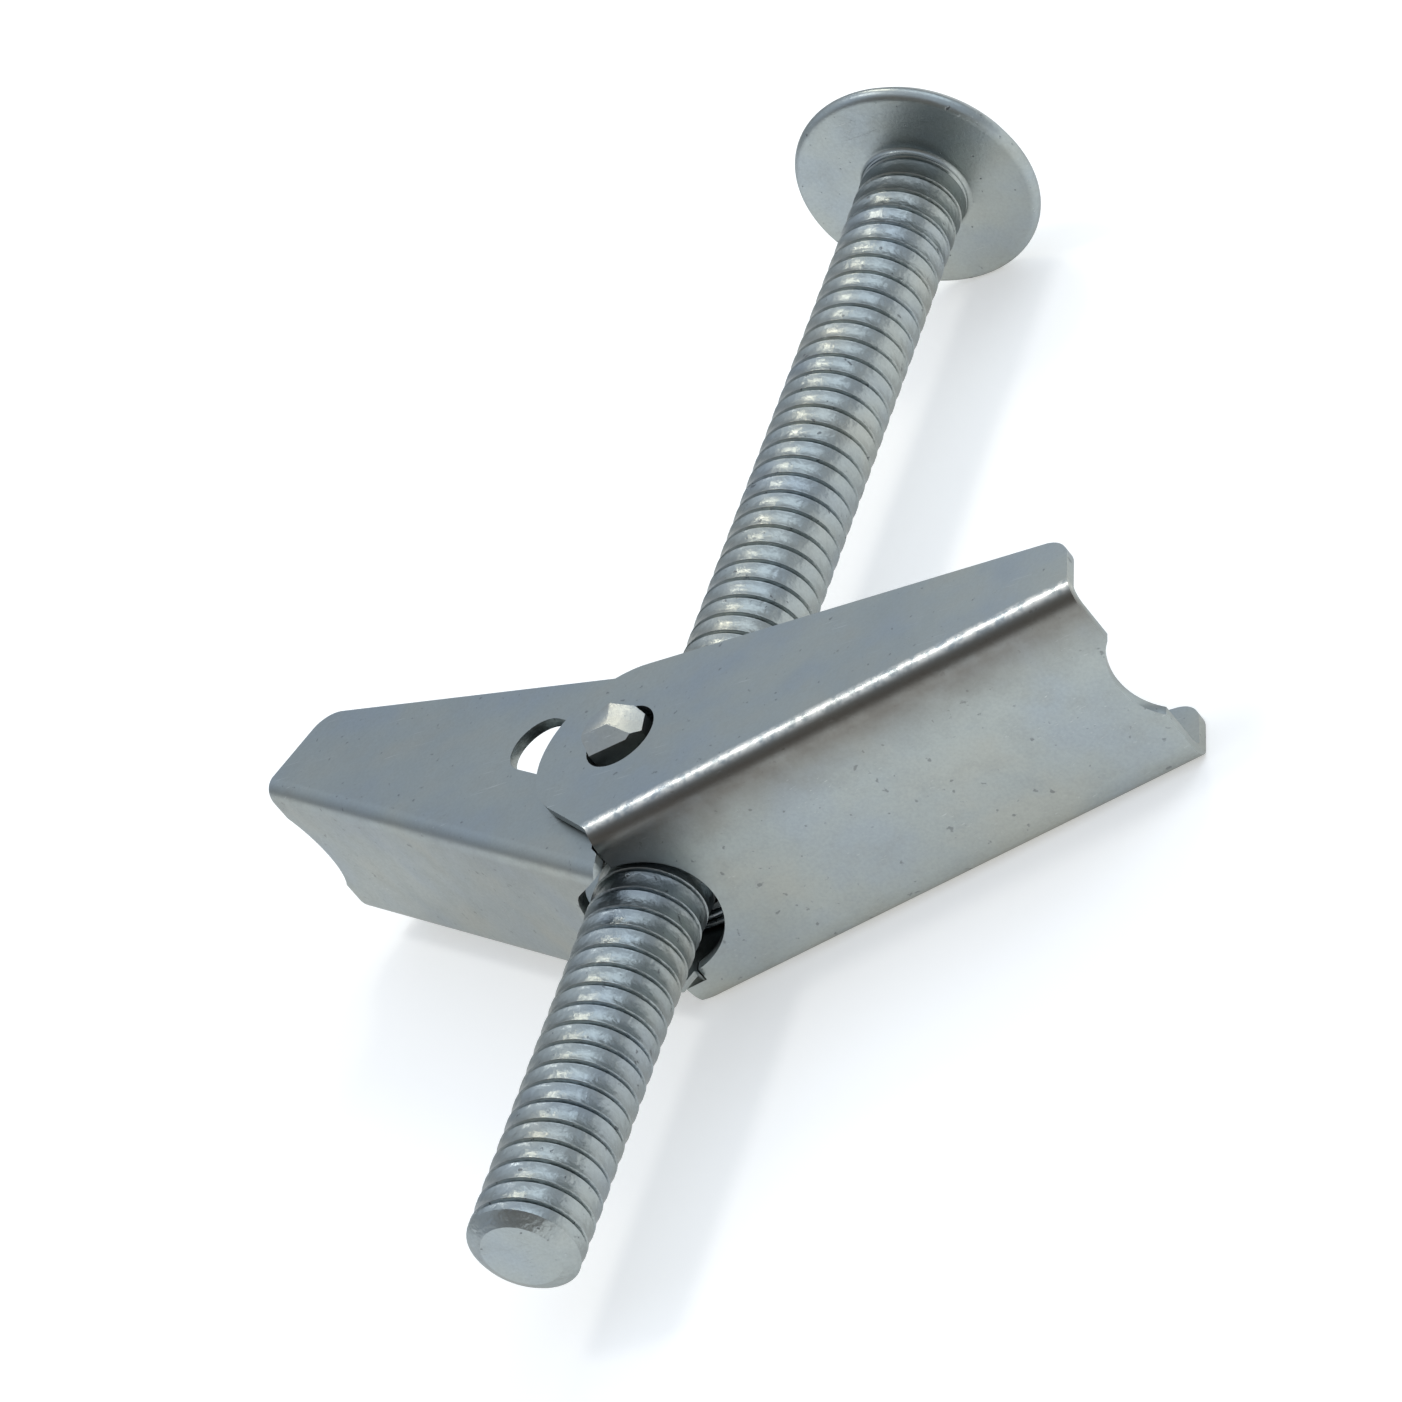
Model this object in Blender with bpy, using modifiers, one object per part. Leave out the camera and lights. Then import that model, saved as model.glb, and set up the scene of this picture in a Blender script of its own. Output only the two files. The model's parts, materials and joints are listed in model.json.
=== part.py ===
"""A spring toggle anchor for hollow walls: a long machine screw through a trunnion nut, and two
folded sheet wings on the nut's lugs, held open by one spring.

Sizes are in millimetres and angles in degrees. The screw lies along Y with its head at +Y, the
wings swing about Z, and the object rests on its side on the plane Z = 0."""

import math

import bmesh
import bpy
from mathutils import Matrix, Vector

MM = 0.001

# Screw, as bought: No. 10 with 24 threads to the inch, 2 1/2 in long.
SCREW_DIAMETER = 4.8
SCREW_LENGTH = 62.73
THREAD_PITCH = 25.4 / 24
THREAD_DEPTH = 0.56
CREST_SHARE = 0.36
ROOT_SHARE = 0.08
THREAD_STEPS = 16
TIP_CHAMFER = 0.7
NECK_FILLET = 0.4
HEAD_DIAMETER = 11.2
HEAD_HEIGHT = 2.7
HEAD_RIM = 0.8
SLOT_WIDTH = 1.3
SLOT_DEPTH = 1.3

# Where the nut has been run to: from its pivot axis to the underside of the head.
PIVOT_TO_HEAD = 38.34

# Nut: a short barrel across the screw, with a lug at each end.
BORE_CLEARANCE = 0.15
BARREL_WALL = 1.65
BARREL_FLAT = 0.8
SHOULDER_CUT = 1.1
LUG_DIAMETER = 2.9
LUG_TAPER = 0.6
LUG_PROUD = 0.85
LUG_REACH = 0.315

# Spring: one wire, with a coil round each end of the barrel.
WIRE = 0.36
WIRE_GAP = 0.08
BRIDGE_AT = 9.0
LEG_AT = 8.0
BRIDGE_BEND = 0.8

# Wings: sheet thickness, the bend's outside radius and the taper of the free edges.
SHEET = 0.5
FOLD_RADIUS = 0.75
TAPER = 16.2
EAR_RADIUS = 4.2
PIVOT_HOLE = 3.36
EAR_GAP = 0.2
SIDE_PLAY = 0.81
END_NOTCH_RADIUS = 3.1
END_NOTCH_DEPTH = 0.9
END_ROUND = 1.3

OUTER_ANGLE = 15.7
OUTER_LENGTH = 21.8
OUTER_DEPTH = 5.5
OUTER_HEEL = -1.5
OUTER_FAR_HEEL = -2.7
OUTER_NOTCH_RADIUS = 3.2
OUTER_NOTCH_CENTRE = -1.9
FAR_CORNER = 0.7

INNER_ANGLE = 28.55
INNER_LENGTH = 21.4
INNER_HEEL = -1.5
INNER_LIP = -3.7
LIP_RISE = 0.7
LIP_CORNER = 0.5
INNER_NOTCH_RADIUS = 2.62
INNER_NOTCH_CENTRE = -2.75
INNER_NOTCH_FLARE = 30
HEEL_GAP = 0.12
WINDOW_FROM = 2.9
WINDOW_TO = 7.3
WINDOW_HALF = 1.43
WINDOW_LEVEL = -0.86

# Sizes that follow from those above. The outer wing's heel swings inside the inner wing's web.
INNER_DEPTH = math.hypot(OUTER_HEEL, OUTER_DEPTH) + SHEET + HEEL_GAP
SCREW_RADIUS = SCREW_DIAMETER / 2
HEAD_RADIUS = HEAD_DIAMETER / 2
BORE_RADIUS = SCREW_RADIUS + BORE_CLEARANCE
BARREL_RADIUS = BORE_RADIUS + BARREL_WALL
BARREL_HALF = BORE_RADIUS + 0.05
SHOULDER_RADIUS = BARREL_RADIUS - SHOULDER_CUT
COIL_RADIUS = SHOULDER_RADIUS + 1.5 * WIRE_GAP + WIRE / 2
LEG_LEVEL = BARREL_HALF + WIRE_GAP + WIRE / 2
ARM_LEVEL = LEG_LEVEL + WIRE + WIRE_GAP
INNER_INSIDE = ARM_LEVEL + WIRE / 2 + WIRE_GAP
INNER_HALF = INNER_INSIDE + SHEET
OUTER_INSIDE = INNER_HALF + EAR_GAP + SIDE_PLAY / 2
OUTER_HALF = OUTER_INSIDE + SHEET
OUTER_SHIFT = -SIDE_PLAY / 2
LUG_END = OUTER_HALF + LUG_REACH
AXIS_HEIGHT = max(HEAD_RADIUS, LUG_END + 0.05, OUTER_HALF - OUTER_SHIFT + 0.03)


def start():
    for obj in list(bpy.data.objects):
        bpy.data.objects.remove(obj)
    collections = {}
    for name in ("parts", "cutters"):
        collections[name] = bpy.data.collections.new(name)
        bpy.context.scene.collection.children.link(collections[name])
    pivot = bpy.data.objects.new("pivot_point", None)
    bpy.context.scene.collection.objects.link(pivot)
    return collections["parts"], collections["cutters"], pivot


def material(name, colour, roughness):
    made = bpy.data.materials.new(name)
    made.use_nodes = True
    shader = made.node_tree.nodes["Principled BSDF"]
    shader.inputs["Base Color"].default_value = (*colour, 1)
    shader.inputs["Metallic"].default_value = 1
    shader.inputs["Roughness"].default_value = roughness
    return made


def place(obj, collection, pivot):
    collection.objects.link(obj)
    obj.parent = pivot
    return obj


def solid_from(bm, name, collection, pivot):
    """An object from a bmesh in millimetres."""
    bmesh.ops.scale(bm, vec=(MM, MM, MM), verts=bm.verts)
    bmesh.ops.recalc_face_normals(bm, faces=bm.faces)
    mesh = bpy.data.meshes.new(name)
    bm.to_mesh(mesh)
    bm.free()
    return place(bpy.data.objects.new(name, mesh), collection, pivot)


def prism(name, outline, low, high, collection, pivot):
    """A closed outline in X and Y, extruded along Z from low to high."""
    bm = bmesh.new()
    face = bm.faces.new([bm.verts.new((x, y, low)) for x, y in outline])
    lifted = bmesh.ops.extrude_face_region(bm, geom=[face])
    tops = [item for item in lifted["geom"] if isinstance(item, bmesh.types.BMVert)]
    bmesh.ops.translate(bm, vec=(0, 0, high - low), verts=tops)
    return solid_from(bm, name, collection, pivot)


def cylinder(name, radius, length, centre, axis, collection, pivot, segments=48):
    bm = bmesh.new()
    turn = Vector((0, 0, 1)).rotation_difference(Vector(axis)).to_matrix().to_4x4()
    bmesh.ops.create_cone(
        bm, cap_ends=True, segments=segments, radius1=radius, radius2=radius, depth=length,
        matrix=Matrix.Translation(centre) @ turn,
    )
    return solid_from(bm, name, collection, pivot)


def combine(target, other, operation):
    step = target.modifiers.new(f"{operation.lower()} {other.name}", "BOOLEAN")
    step.operation = operation
    step.solver = "EXACT"
    step.object = other
    other.hide_render = True
    other.display_type = "WIRE"


def arc(centre, radius, first, last, steps):
    """Points on a circle from one angle to another, both ends included."""
    angles = [math.radians(first + (last - first) * i / steps) for i in range(steps + 1)]
    return [(centre[0] + radius * math.cos(a), centre[1] + radius * math.sin(a)) for a in angles]


def head_profile():
    """Radius and height of the head and its neck, from the crown down, with the underside at 0."""
    dome_rise = HEAD_HEIGHT - HEAD_RIM
    dome_radius = (HEAD_RADIUS**2 + dome_rise**2) / (2 * dome_rise)
    spread = math.degrees(math.asin(HEAD_RADIUS / dome_radius))
    dome = arc((0, HEAD_HEIGHT - dome_radius), dome_radius, 90, 90 - spread, 12)
    half_rim = HEAD_RIM / 2
    rim = arc((HEAD_RADIUS - half_rim, half_rim), half_rim, 45, -90, 6)
    neck = arc((SCREW_RADIUS + NECK_FILLET, -NECK_FILLET), NECK_FILLET, 90, 170, 4)
    root = SCREW_RADIUS - THREAD_DEPTH
    kept_dome = [point for point in dome if point[0] < HEAD_RADIUS - half_rim * 0.9]
    return kept_dome + rim + neck + [(root, -THREAD_PITCH), (0, -THREAD_PITCH)]


def blank_profile():
    """The rod that the thread is rolled on, at the thread's outside diameter, with its chamfer."""
    inside_head = HEAD_RIM / 4
    crest = SCREW_RADIUS + 0.01
    return [
        (0, inside_head),
        (crest, inside_head),
        (crest, TIP_CHAMFER - SCREW_LENGTH),
        (SCREW_RADIUS - TIP_CHAMFER, -SCREW_LENGTH),
        (0, -SCREW_LENGTH),
    ]


def turned(name, profile, steps, collection, pivot):
    """A round solid from a profile of radius and height."""
    bm = bmesh.new()
    points = [bm.verts.new((radius * MM, 0, height * MM)) for radius, height in profile]
    for first, second in zip(points, points[1:]):
        bm.edges.new((first, second))
    mesh = bpy.data.meshes.new(name)
    bm.to_mesh(mesh)
    bm.free()
    obj = place(bpy.data.objects.new(name, mesh), collection, pivot)
    turn = obj.modifiers.new("turn", "SCREW")
    turn.axis = "Z"
    turn.steps = steps
    turn.render_steps = steps
    turn.use_merge_vertices = True
    turn.merge_threshold = 0.00001
    turn.use_smooth_shade = True
    return obj


def thread_solid(collection, pivot):
    """One pitch of the thread's profile, swept up a right-handed helix and closed at both ends."""
    turns = math.ceil(SCREW_LENGTH / THREAD_PITCH) + 3
    root = SCREW_RADIUS - THREAD_DEPTH
    flank = THREAD_PITCH * (1 - CREST_SHARE - ROOT_SHARE) / 2
    crest_end = flank + THREAD_PITCH * CREST_SHARE
    profile = [
        (root, 0), (SCREW_RADIUS, flank), (SCREW_RADIUS, crest_end), (root, crest_end + flank),
        (root, THREAD_PITCH),
    ]
    start_at = -SCREW_LENGTH - 2 * THREAD_PITCH
    bm = bmesh.new()
    points = [bm.verts.new((radius, 0, start_at + height)) for radius, height in profile]
    edges = [bm.edges.new(pair) for pair in zip(points, points[1:])]
    bmesh.ops.spin(
        bm, geom=points + edges, cent=(0, 0, 0), axis=(0, 0, 1),
        dvec=(0, 0, THREAD_PITCH / THREAD_STEPS), angle=2 * math.pi * turns,
        steps=THREAD_STEPS * turns, use_duplicate=False,
    )
    bmesh.ops.remove_doubles(bm, verts=bm.verts, dist=0.003)
    rims = [edge for edge in bm.edges if edge.is_boundary]
    bmesh.ops.holes_fill(bm, edges=rims, sides=0)
    return solid_from(bm, "machine_screw", collection, pivot)


def machine_screw(parts, cutters, pivot):
    screw = thread_solid(parts, pivot)
    blank = turned("screw_blank", blank_profile(), 32, cutters, pivot)
    head = turned("screw_head", head_profile(), 48, cutters, pivot)
    slot_half = SLOT_WIDTH / 2
    slot = prism(
        "driver_slot",
        [(-slot_half, -HEAD_DIAMETER), (slot_half, -HEAD_DIAMETER),
         (slot_half, HEAD_DIAMETER), (-slot_half, HEAD_DIAMETER)],
        HEAD_HEIGHT - SLOT_DEPTH, HEAD_HEIGHT + 1, cutters, pivot,
    )
    combine(screw, blank, "INTERSECT")
    combine(screw, head, "UNION")
    combine(screw, slot, "DIFFERENCE")
    for obj in (screw, blank, head, slot):
        obj.rotation_euler = (math.radians(-90), 0, 0)
        obj.location = (0, PIVOT_TO_HEAD * MM, 0)
    return screw


def lug(name, low, high, taper, side, collection, pivot):
    """An eight-sided length of a lug between two heights, on the near (1) or far (-1) side."""
    bm = bmesh.new()
    bmesh.ops.create_cone(
        bm, cap_ends=True, segments=8, radius1=LUG_DIAMETER / 2,
        radius2=LUG_DIAMETER / 2 * taper, depth=high - low,
        matrix=Matrix.Rotation(math.radians(30.5), 4, "Z"),
    )
    bmesh.ops.translate(bm, vec=(0, 0, (high + low) / 2), verts=bm.verts)
    if side < 0:
        bmesh.ops.scale(bm, vec=(1, 1, -1), verts=bm.verts)
    return solid_from(bm, name, collection, pivot)


def trunnion_nut(parts, cutters, pivot):
    nut = cylinder(
        "trunnion_nut", BARREL_RADIUS, 2 * BARREL_HALF, (0, 0, 0), (0, 0, 1), parts, pivot
    )
    shoulder_end = INNER_INSIDE - WIRE_GAP
    shoulder = cylinder(
        "nut_shoulder", SHOULDER_RADIUS, 2 * shoulder_end, (0, 0, 0), (0, 0, 1), cutters, pivot
    )
    combine(nut, shoulder, "UNION")
    flat_level = BARREL_RADIUS - BARREL_FLAT
    for side, name in ((1, "flat_to_head"), (-1, "flat_to_tip")):
        edge = 2 * BARREL_RADIUS
        level = side * flat_level
        outline = [(-edge, level), (edge, level), (edge, side * edge), (-edge, side * edge)]
        flat = prism(name, outline, -BARREL_HALF - 1, BARREL_HALF + 1, cutters, pivot)
        combine(nut, flat, "DIFFERENCE")
    for side, name in ((1, "near"), (-1, "far")):
        root = shoulder_end - 0.3
        face = LUG_END - LUG_PROUD
        combine(nut, lug(f"lug_{name}", root, face, 1, side, cutters, pivot), "UNION")
        tip = lug(f"lug_tip_{name}", face - 0.01, LUG_END, LUG_TAPER, side, cutters, pivot)
        combine(nut, tip, "UNION")
    bore = cylinder(
        "screw_bore", BORE_RADIUS, 4 * BARREL_RADIUS, (0, 0, 0), (0, 1, 0), cutters, pivot
    )
    combine(nut, bore, "DIFFERENCE")
    return nut


def folded_sheet(name, half, depth, length, collection, pivot):
    """A U channel along X: one bent sheet, open towards +Y, given its thickness inwards."""
    rise = EAR_RADIUS + 2
    corner = half - FOLD_RADIUS
    level = FOLD_RADIUS - depth
    near = arc((corner, level), FOLD_RADIUS, 0, -90, 8)
    far = [(-z, n) for z, n in reversed(near)]
    path = [(half, rise)] + near + far + [(-half, rise)]
    bm = bmesh.new()
    start_at = -EAR_RADIUS - 2
    first = [bm.verts.new((start_at, n, z)) for z, n in path]
    edges = [bm.edges.new(pair) for pair in zip(first, first[1:])]
    drawn = bmesh.ops.extrude_edge_only(bm, edges=edges)
    moved = [item for item in drawn["geom"] if isinstance(item, bmesh.types.BMVert)]
    bmesh.ops.translate(bm, vec=(length + 4 - start_at, 0, 0), verts=moved)
    sheet = solid_from(bm, name, collection, pivot)
    outward = sum((p.normal.y for p in sheet.data.polygons if abs(p.normal.z) < 0.2), 0.0) < 0
    if not outward:
        sheet.data.flip_normals()
    thicken = sheet.modifiers.new("sheet thickness", "SOLIDIFY")
    thicken.thickness = SHEET * MM
    thicken.offset = -1
    thicken.use_even_offset = True
    return sheet


def side_outline(length, depth, heel, lip):
    """The wing seen along its pivot: round ear, tapered free edge, rounded end, web and heel.
    The folded edge may run on past the heel of the flanges, as a lip."""
    below = -depth - 1
    taper = math.radians(TAPER)
    top_angle = 90 - TAPER
    heel_level = SHEET - depth
    reach = math.hypot(heel, heel_level)
    bearing = math.degrees(math.atan2(heel_level, heel)) % 360
    back_angle = bearing - math.degrees(math.acos(EAR_RADIUS / reach))
    ear = arc((0, 0), EAR_RADIUS, top_angle, back_angle, 28)
    foot = [(heel, heel_level), (heel, below)]
    if lip < heel:
        lip_level = LIP_RISE - depth
        back = ear[-1]
        share = (back[1] - lip_level) / (back[1] - heel_level)
        foot = [
            (back[0] + share * (heel - back[0]), lip_level), (lip + LIP_CORNER, lip_level),
            (lip, lip_level - LIP_CORNER), (lip, below),
        ]
    edge_rise = EAR_RADIUS / math.cos(taper)
    centre_s = length - END_ROUND
    centre_n = edge_rise - centre_s * math.tan(taper) - END_ROUND / math.cos(taper)
    end = arc((centre_s, centre_n), END_ROUND, 0, top_angle, 8)
    return ear + foot + [(length, below)] + end


def wing(name, half, depth, length, outline, mouth, parts, cutters, pivot):
    sheet = folded_sheet(name, half, depth, length, parts, pivot)
    blank = prism(f"{name}_outline", outline, -half - 1, half + 1, cutters, pivot)
    combine(sheet, blank, "INTERSECT")
    hole = cylinder(
        f"{name}_pivot_hole", PIVOT_HOLE / 2, 2 * half + 4, (0, 0, 0), (0, 0, 1), cutters, pivot
    )
    combine(sheet, hole, "DIFFERENCE")
    cut = 2.4
    low, high = -depth - cut / 2, cut / 2 - depth
    notch = prism(f"{name}_screw_notch", [(s, -z) for s, z in mouth], low, high, cutters, pivot)
    end_centre = length + END_NOTCH_RADIUS - END_NOTCH_DEPTH
    ring = arc((end_centre, 0), END_NOTCH_RADIUS, 0, 354.375, 63)
    end_notch = prism(f"{name}_end_notch", ring, low, high, cutters, pivot)
    for tool in (notch, end_notch):
        tool.data.transform(Matrix.Rotation(math.radians(-90), 4, "X"))
        combine(sheet, tool, "DIFFERENCE")
    return sheet, [blank, hole, notch, end_notch]


def swing(objects, angles, shift):
    for obj in objects:
        obj.rotation_euler = [math.radians(angle) for angle in angles]
        obj.location = (0, 0, shift * MM)


def notch_mouth(centre, radius, flare):
    """A round notch in the web's plane, its sides running out to the heel at the flare's angle."""
    turn = 90 - flare
    bottom = arc((centre, 0), radius, -turn, turn, 32)
    run = 2 * radius
    last_s, last_z = bottom[-1]
    side = (last_s - run, last_z + run * math.tan(math.radians(flare)))
    return bottom + [side, (side[0], -side[1])]


def outer_wing(parts, cutters, pivot):
    outline = side_outline(OUTER_LENGTH, OUTER_DEPTH, OUTER_HEEL, OUTER_HEEL)
    sheet, tools = wing(
        "outer_wing", OUTER_HALF, OUTER_DEPTH, OUTER_LENGTH, outline,
        notch_mouth(OUTER_NOTCH_CENTRE, OUTER_NOTCH_RADIUS, 0), parts, cutters, pivot,
    )
    far_outline = side_outline(OUTER_LENGTH, OUTER_DEPTH, OUTER_FAR_HEEL, OUTER_FAR_HEEL)
    beside_inner = -INNER_HALF - 0.75 * EAR_GAP - OUTER_SHIFT
    far = prism("far_heel_outline", far_outline, -OUTER_HALF - 1, beside_inner, cutters, pivot)
    combine(tools[0], far, "UNION")
    inset = OUTER_FAR_HEEL + FAR_CORNER
    corner = prism(
        "far_corner_cut",
        [(OUTER_FAR_HEEL - 1, OUTER_HALF + 1), (OUTER_FAR_HEEL - 1, OUTER_HALF - FAR_CORNER),
         (OUTER_FAR_HEEL, OUTER_HALF - FAR_CORNER), (inset, OUTER_HALF), (inset, OUTER_HALF + 1)],
        -OUTER_DEPTH - 1, -OUTER_DEPTH + 1, cutters, pivot,
    )
    corner.data.transform(Matrix.Rotation(math.radians(-90), 4, "X"))
    combine(sheet, corner, "DIFFERENCE")
    swing([sheet, far, corner] + tools, (0, 0, OUTER_ANGLE), OUTER_SHIFT)
    return sheet


def inner_wing(parts, cutters, pivot):
    outline = side_outline(INNER_LENGTH, INNER_DEPTH, INNER_HEEL, INNER_LIP)
    sheet, tools = wing(
        "inner_wing", INNER_HALF, INNER_DEPTH, INNER_LENGTH, outline,
        notch_mouth(INNER_NOTCH_CENTRE, INNER_NOTCH_RADIUS, INNER_NOTCH_FLARE),
        parts, cutters, pivot,
    )
    first = WINDOW_FROM + WINDOW_HALF
    last = WINDOW_TO - WINDOW_HALF
    outline = arc((last, WINDOW_LEVEL), WINDOW_HALF, -90, 90, 14)
    outline += arc((first, WINDOW_LEVEL), WINDOW_HALF, 90, 270, 14)
    window = prism(
        "inner_wing_window", outline, -INNER_HALF - 1, INNER_HALF + 1, cutters, pivot
    )
    combine(sheet, window, "DIFFERENCE")
    swing([sheet, window] + tools, (0, 180, -INNER_ANGLE), 0)
    return sheet


def in_wing(side, angle, along, level):
    """A point given along and above a wing's own axis, in the frame of the screw."""
    turn = math.radians(angle)
    return (
        side * (along * math.cos(turn) - level * math.sin(turn)),
        along * math.sin(turn) + level * math.cos(turn),
    )


def tangent_angle(point, side):
    """Where a straight wire from this point meets the underside of the coil."""
    bearing = math.degrees(math.atan2(point[1], point[0]))
    if side < 0:
        bearing -= 360 if bearing > 0 else 0
    spread = math.degrees(math.acos(COIL_RADIUS / math.hypot(*point)))
    return bearing - side * spread


def spring_half():
    """The wire from the middle of the bridge to the end of one leg, on the near side."""
    above_web = SHEET + WIRE / 2 + WIRE_GAP
    bridge = in_wing(1, OUTER_ANGLE, BRIDGE_AT, above_web - OUTER_DEPTH)
    leg = in_wing(-1, INNER_ANGLE, LEG_AT, above_web - INNER_DEPTH)
    first = tangent_angle(bridge, 1)
    last = tangent_angle(leg, -1) - 360
    steps = 36
    turns = [first + (last - first) * i / steps for i in range(steps + 1)]
    rise = [ARM_LEVEL + (LEG_LEVEL - ARM_LEVEL) * i / steps for i in range(steps + 1)]
    coil = [
        (COIL_RADIUS * math.cos(math.radians(a)), COIL_RADIUS * math.sin(math.radians(a)), z)
        for a, z in zip(turns, rise)
    ]
    run = Vector((*bridge, 0)) - Vector((coil[0][0], coil[0][1], 0))
    run.normalize()
    corner = []
    for i in range(6):
        turn = math.radians(90 * i / 5)
        back = BRIDGE_BEND * (1 - math.sin(turn + math.pi / 2))
        corner.append(
            (bridge[0] - run.x * back, bridge[1] - run.y * back,
             ARM_LEVEL - BRIDGE_BEND * (1 - math.sin(turn)))
        )
    return corner + coil + [(*leg, LEG_LEVEL)]


def torsion_spring(parts, pivot):
    half = spring_half()
    wire = [(x, y, -z) for x, y, z in reversed(half)] + half
    curve = bpy.data.curves.new("spring_wire", "CURVE")
    curve.dimensions = "3D"
    line = curve.splines.new("POLY")
    line.points.add(len(wire) - 1)
    for point, place_at in zip(line.points, wire):
        point.co = (*[value * MM for value in place_at], 1)
    curve.bevel_depth = WIRE / 2 * MM
    curve.bevel_resolution = 2
    curve.use_fill_caps = True
    helper = bpy.data.objects.new("spring_wire", curve)
    bpy.context.scene.collection.objects.link(helper)
    graph = bpy.context.evaluated_depsgraph_get()
    mesh = bpy.data.meshes.new_from_object(helper.evaluated_get(graph))
    bpy.data.objects.remove(helper)
    bm = bmesh.new()
    bm.from_mesh(mesh)
    bmesh.ops.remove_doubles(bm, verts=bm.verts, dist=0.000001)
    bmesh.ops.recalc_face_normals(bm, faces=bm.faces)
    bm.to_mesh(mesh)
    bm.free()
    mesh.name = "torsion_spring"
    return place(bpy.data.objects.new("torsion_spring", mesh), parts, pivot)


def rest_on_table(pieces, pivot):
    """Moves everything so that the box of the whole object is centred over the origin."""
    pivot.location = (0, 0, AXIS_HEIGHT * MM)
    bpy.context.view_layer.update()
    graph = bpy.context.evaluated_depsgraph_get()
    corners = []
    for piece in pieces:
        seen = piece.evaluated_get(graph)
        corners += [seen.matrix_world @ Vector(corner) for corner in seen.bound_box]
    low_x = min(corner.x for corner in corners)
    high_x = max(corner.x for corner in corners)
    pivot.location.x = -(low_x + high_x) / 2
    pivot.location.y = (SCREW_LENGTH / 2 - PIVOT_TO_HEAD - HEAD_HEIGHT / 2) * MM
    print(f"pivot axis at X {pivot.location.x / MM:.3f} Y {pivot.location.y / MM:.3f} mm")


def main():
    parts, cutters, pivot = start()
    zinc = material("zinc plated screw", (0.62, 0.63, 0.62), 0.35)
    nut_zinc = material("zinc plated nut", (0.55, 0.57, 0.6), 0.45)
    outer_zinc = material("zinc plated outer wing", (0.6, 0.61, 0.6), 0.42)
    inner_zinc = material("zinc plated inner wing", (0.58, 0.59, 0.6), 0.42)
    wire = material("spring wire", (0.42, 0.42, 0.43), 0.4)
    screw = machine_screw(parts, cutters, pivot)
    nut = trunnion_nut(parts, cutters, pivot)
    outer = outer_wing(parts, cutters, pivot)
    inner = inner_wing(parts, cutters, pivot)
    spring = torsion_spring(parts, pivot)
    pieces = [screw, nut, outer, inner, spring]
    finishes = [zinc, nut_zinc, outer_zinc, inner_zinc, wire]
    for piece, finish in zip(pieces, finishes):
        piece.data.materials.append(finish)
        for polygon in piece.data.polygons:
            polygon.use_smooth = True
    rest_on_table(pieces, pivot)


main()
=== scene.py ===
# Spring toggle anchor: a zinc plated machine screw, its cross nut, two folded wings and a wire spring.
# Sizes in the settings are in millimetres and degrees. The screw lies along Y, the wings swing about Z.

import json
import math

import bpy
from mathutils import Matrix, Vector


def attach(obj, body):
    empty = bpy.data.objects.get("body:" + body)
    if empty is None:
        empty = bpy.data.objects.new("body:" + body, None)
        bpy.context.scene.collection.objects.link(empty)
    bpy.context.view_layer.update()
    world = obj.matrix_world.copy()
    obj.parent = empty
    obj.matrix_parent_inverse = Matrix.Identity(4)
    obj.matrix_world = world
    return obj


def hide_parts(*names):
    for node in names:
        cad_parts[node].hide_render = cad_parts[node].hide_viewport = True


mm = 0.001
seamMerge = 0.01 * mm

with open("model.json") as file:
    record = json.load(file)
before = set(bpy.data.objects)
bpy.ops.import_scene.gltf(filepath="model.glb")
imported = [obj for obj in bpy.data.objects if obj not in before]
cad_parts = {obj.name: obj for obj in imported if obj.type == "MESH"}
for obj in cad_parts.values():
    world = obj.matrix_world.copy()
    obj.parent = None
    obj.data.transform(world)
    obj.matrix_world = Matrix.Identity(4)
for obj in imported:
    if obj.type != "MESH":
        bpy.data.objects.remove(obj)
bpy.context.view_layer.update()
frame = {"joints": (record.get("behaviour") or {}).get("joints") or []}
pivot = Vector(next(j["pos_m"] for j in frame["joints"] if j["name"] == "outer_wing_fold"))
print("frame loaded, pivot at", tuple(round(v / mm, 3) for v in pivot))


def clearSelection():
    if bpy.context.object and bpy.context.object.mode != "OBJECT":
        bpy.ops.object.mode_set(mode="OBJECT")
    bpy.ops.object.select_all(action="DESELECT")


def pick(obj):
    clearSelection()
    obj.select_set(True)
    bpy.context.view_layer.objects.active = obj


def drawLine(name, points, closed=False):
    # one point pulled out along the line, point by point
    clearSelection()
    bpy.ops.mesh.primitive_plane_add(size=mm)
    obj = bpy.context.object
    obj.name = name
    bpy.ops.object.mode_set(mode="EDIT")
    bpy.ops.mesh.select_mode(type="VERT")
    bpy.ops.mesh.select_all(action="SELECT")
    bpy.ops.mesh.merge(type="CENTER")
    bpy.ops.transform.translate(value=Vector(points[0]) * mm)
    for here, there in zip(points, points[1:]):
        step = (Vector(there) - Vector(here)) * mm
        bpy.ops.mesh.extrude_vertices_move(TRANSFORM_OT_translate={"value": step})
    if closed:
        bpy.ops.mesh.select_all(action="SELECT")
        bpy.ops.mesh.edge_face_add()
    bpy.ops.object.mode_set(mode="OBJECT")
    return obj


def pull(obj, along):
    # extrudes the whole of a line or a face
    pick(obj)
    bpy.ops.object.mode_set(mode="EDIT")
    bpy.ops.mesh.select_all(action="SELECT")
    bpy.ops.mesh.extrude_region_move(TRANSFORM_OT_translate={"value": Vector(along) * mm})
    bpy.ops.mesh.select_all(action="SELECT")
    bpy.ops.mesh.normals_make_consistent(inside=False)
    bpy.ops.object.mode_set(mode="OBJECT")
    return obj


def slab(name, outline, low, high):
    return pull(drawLine(name, [(x, y, low) for x, y in outline], True), (0, 0, high - low))


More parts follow.
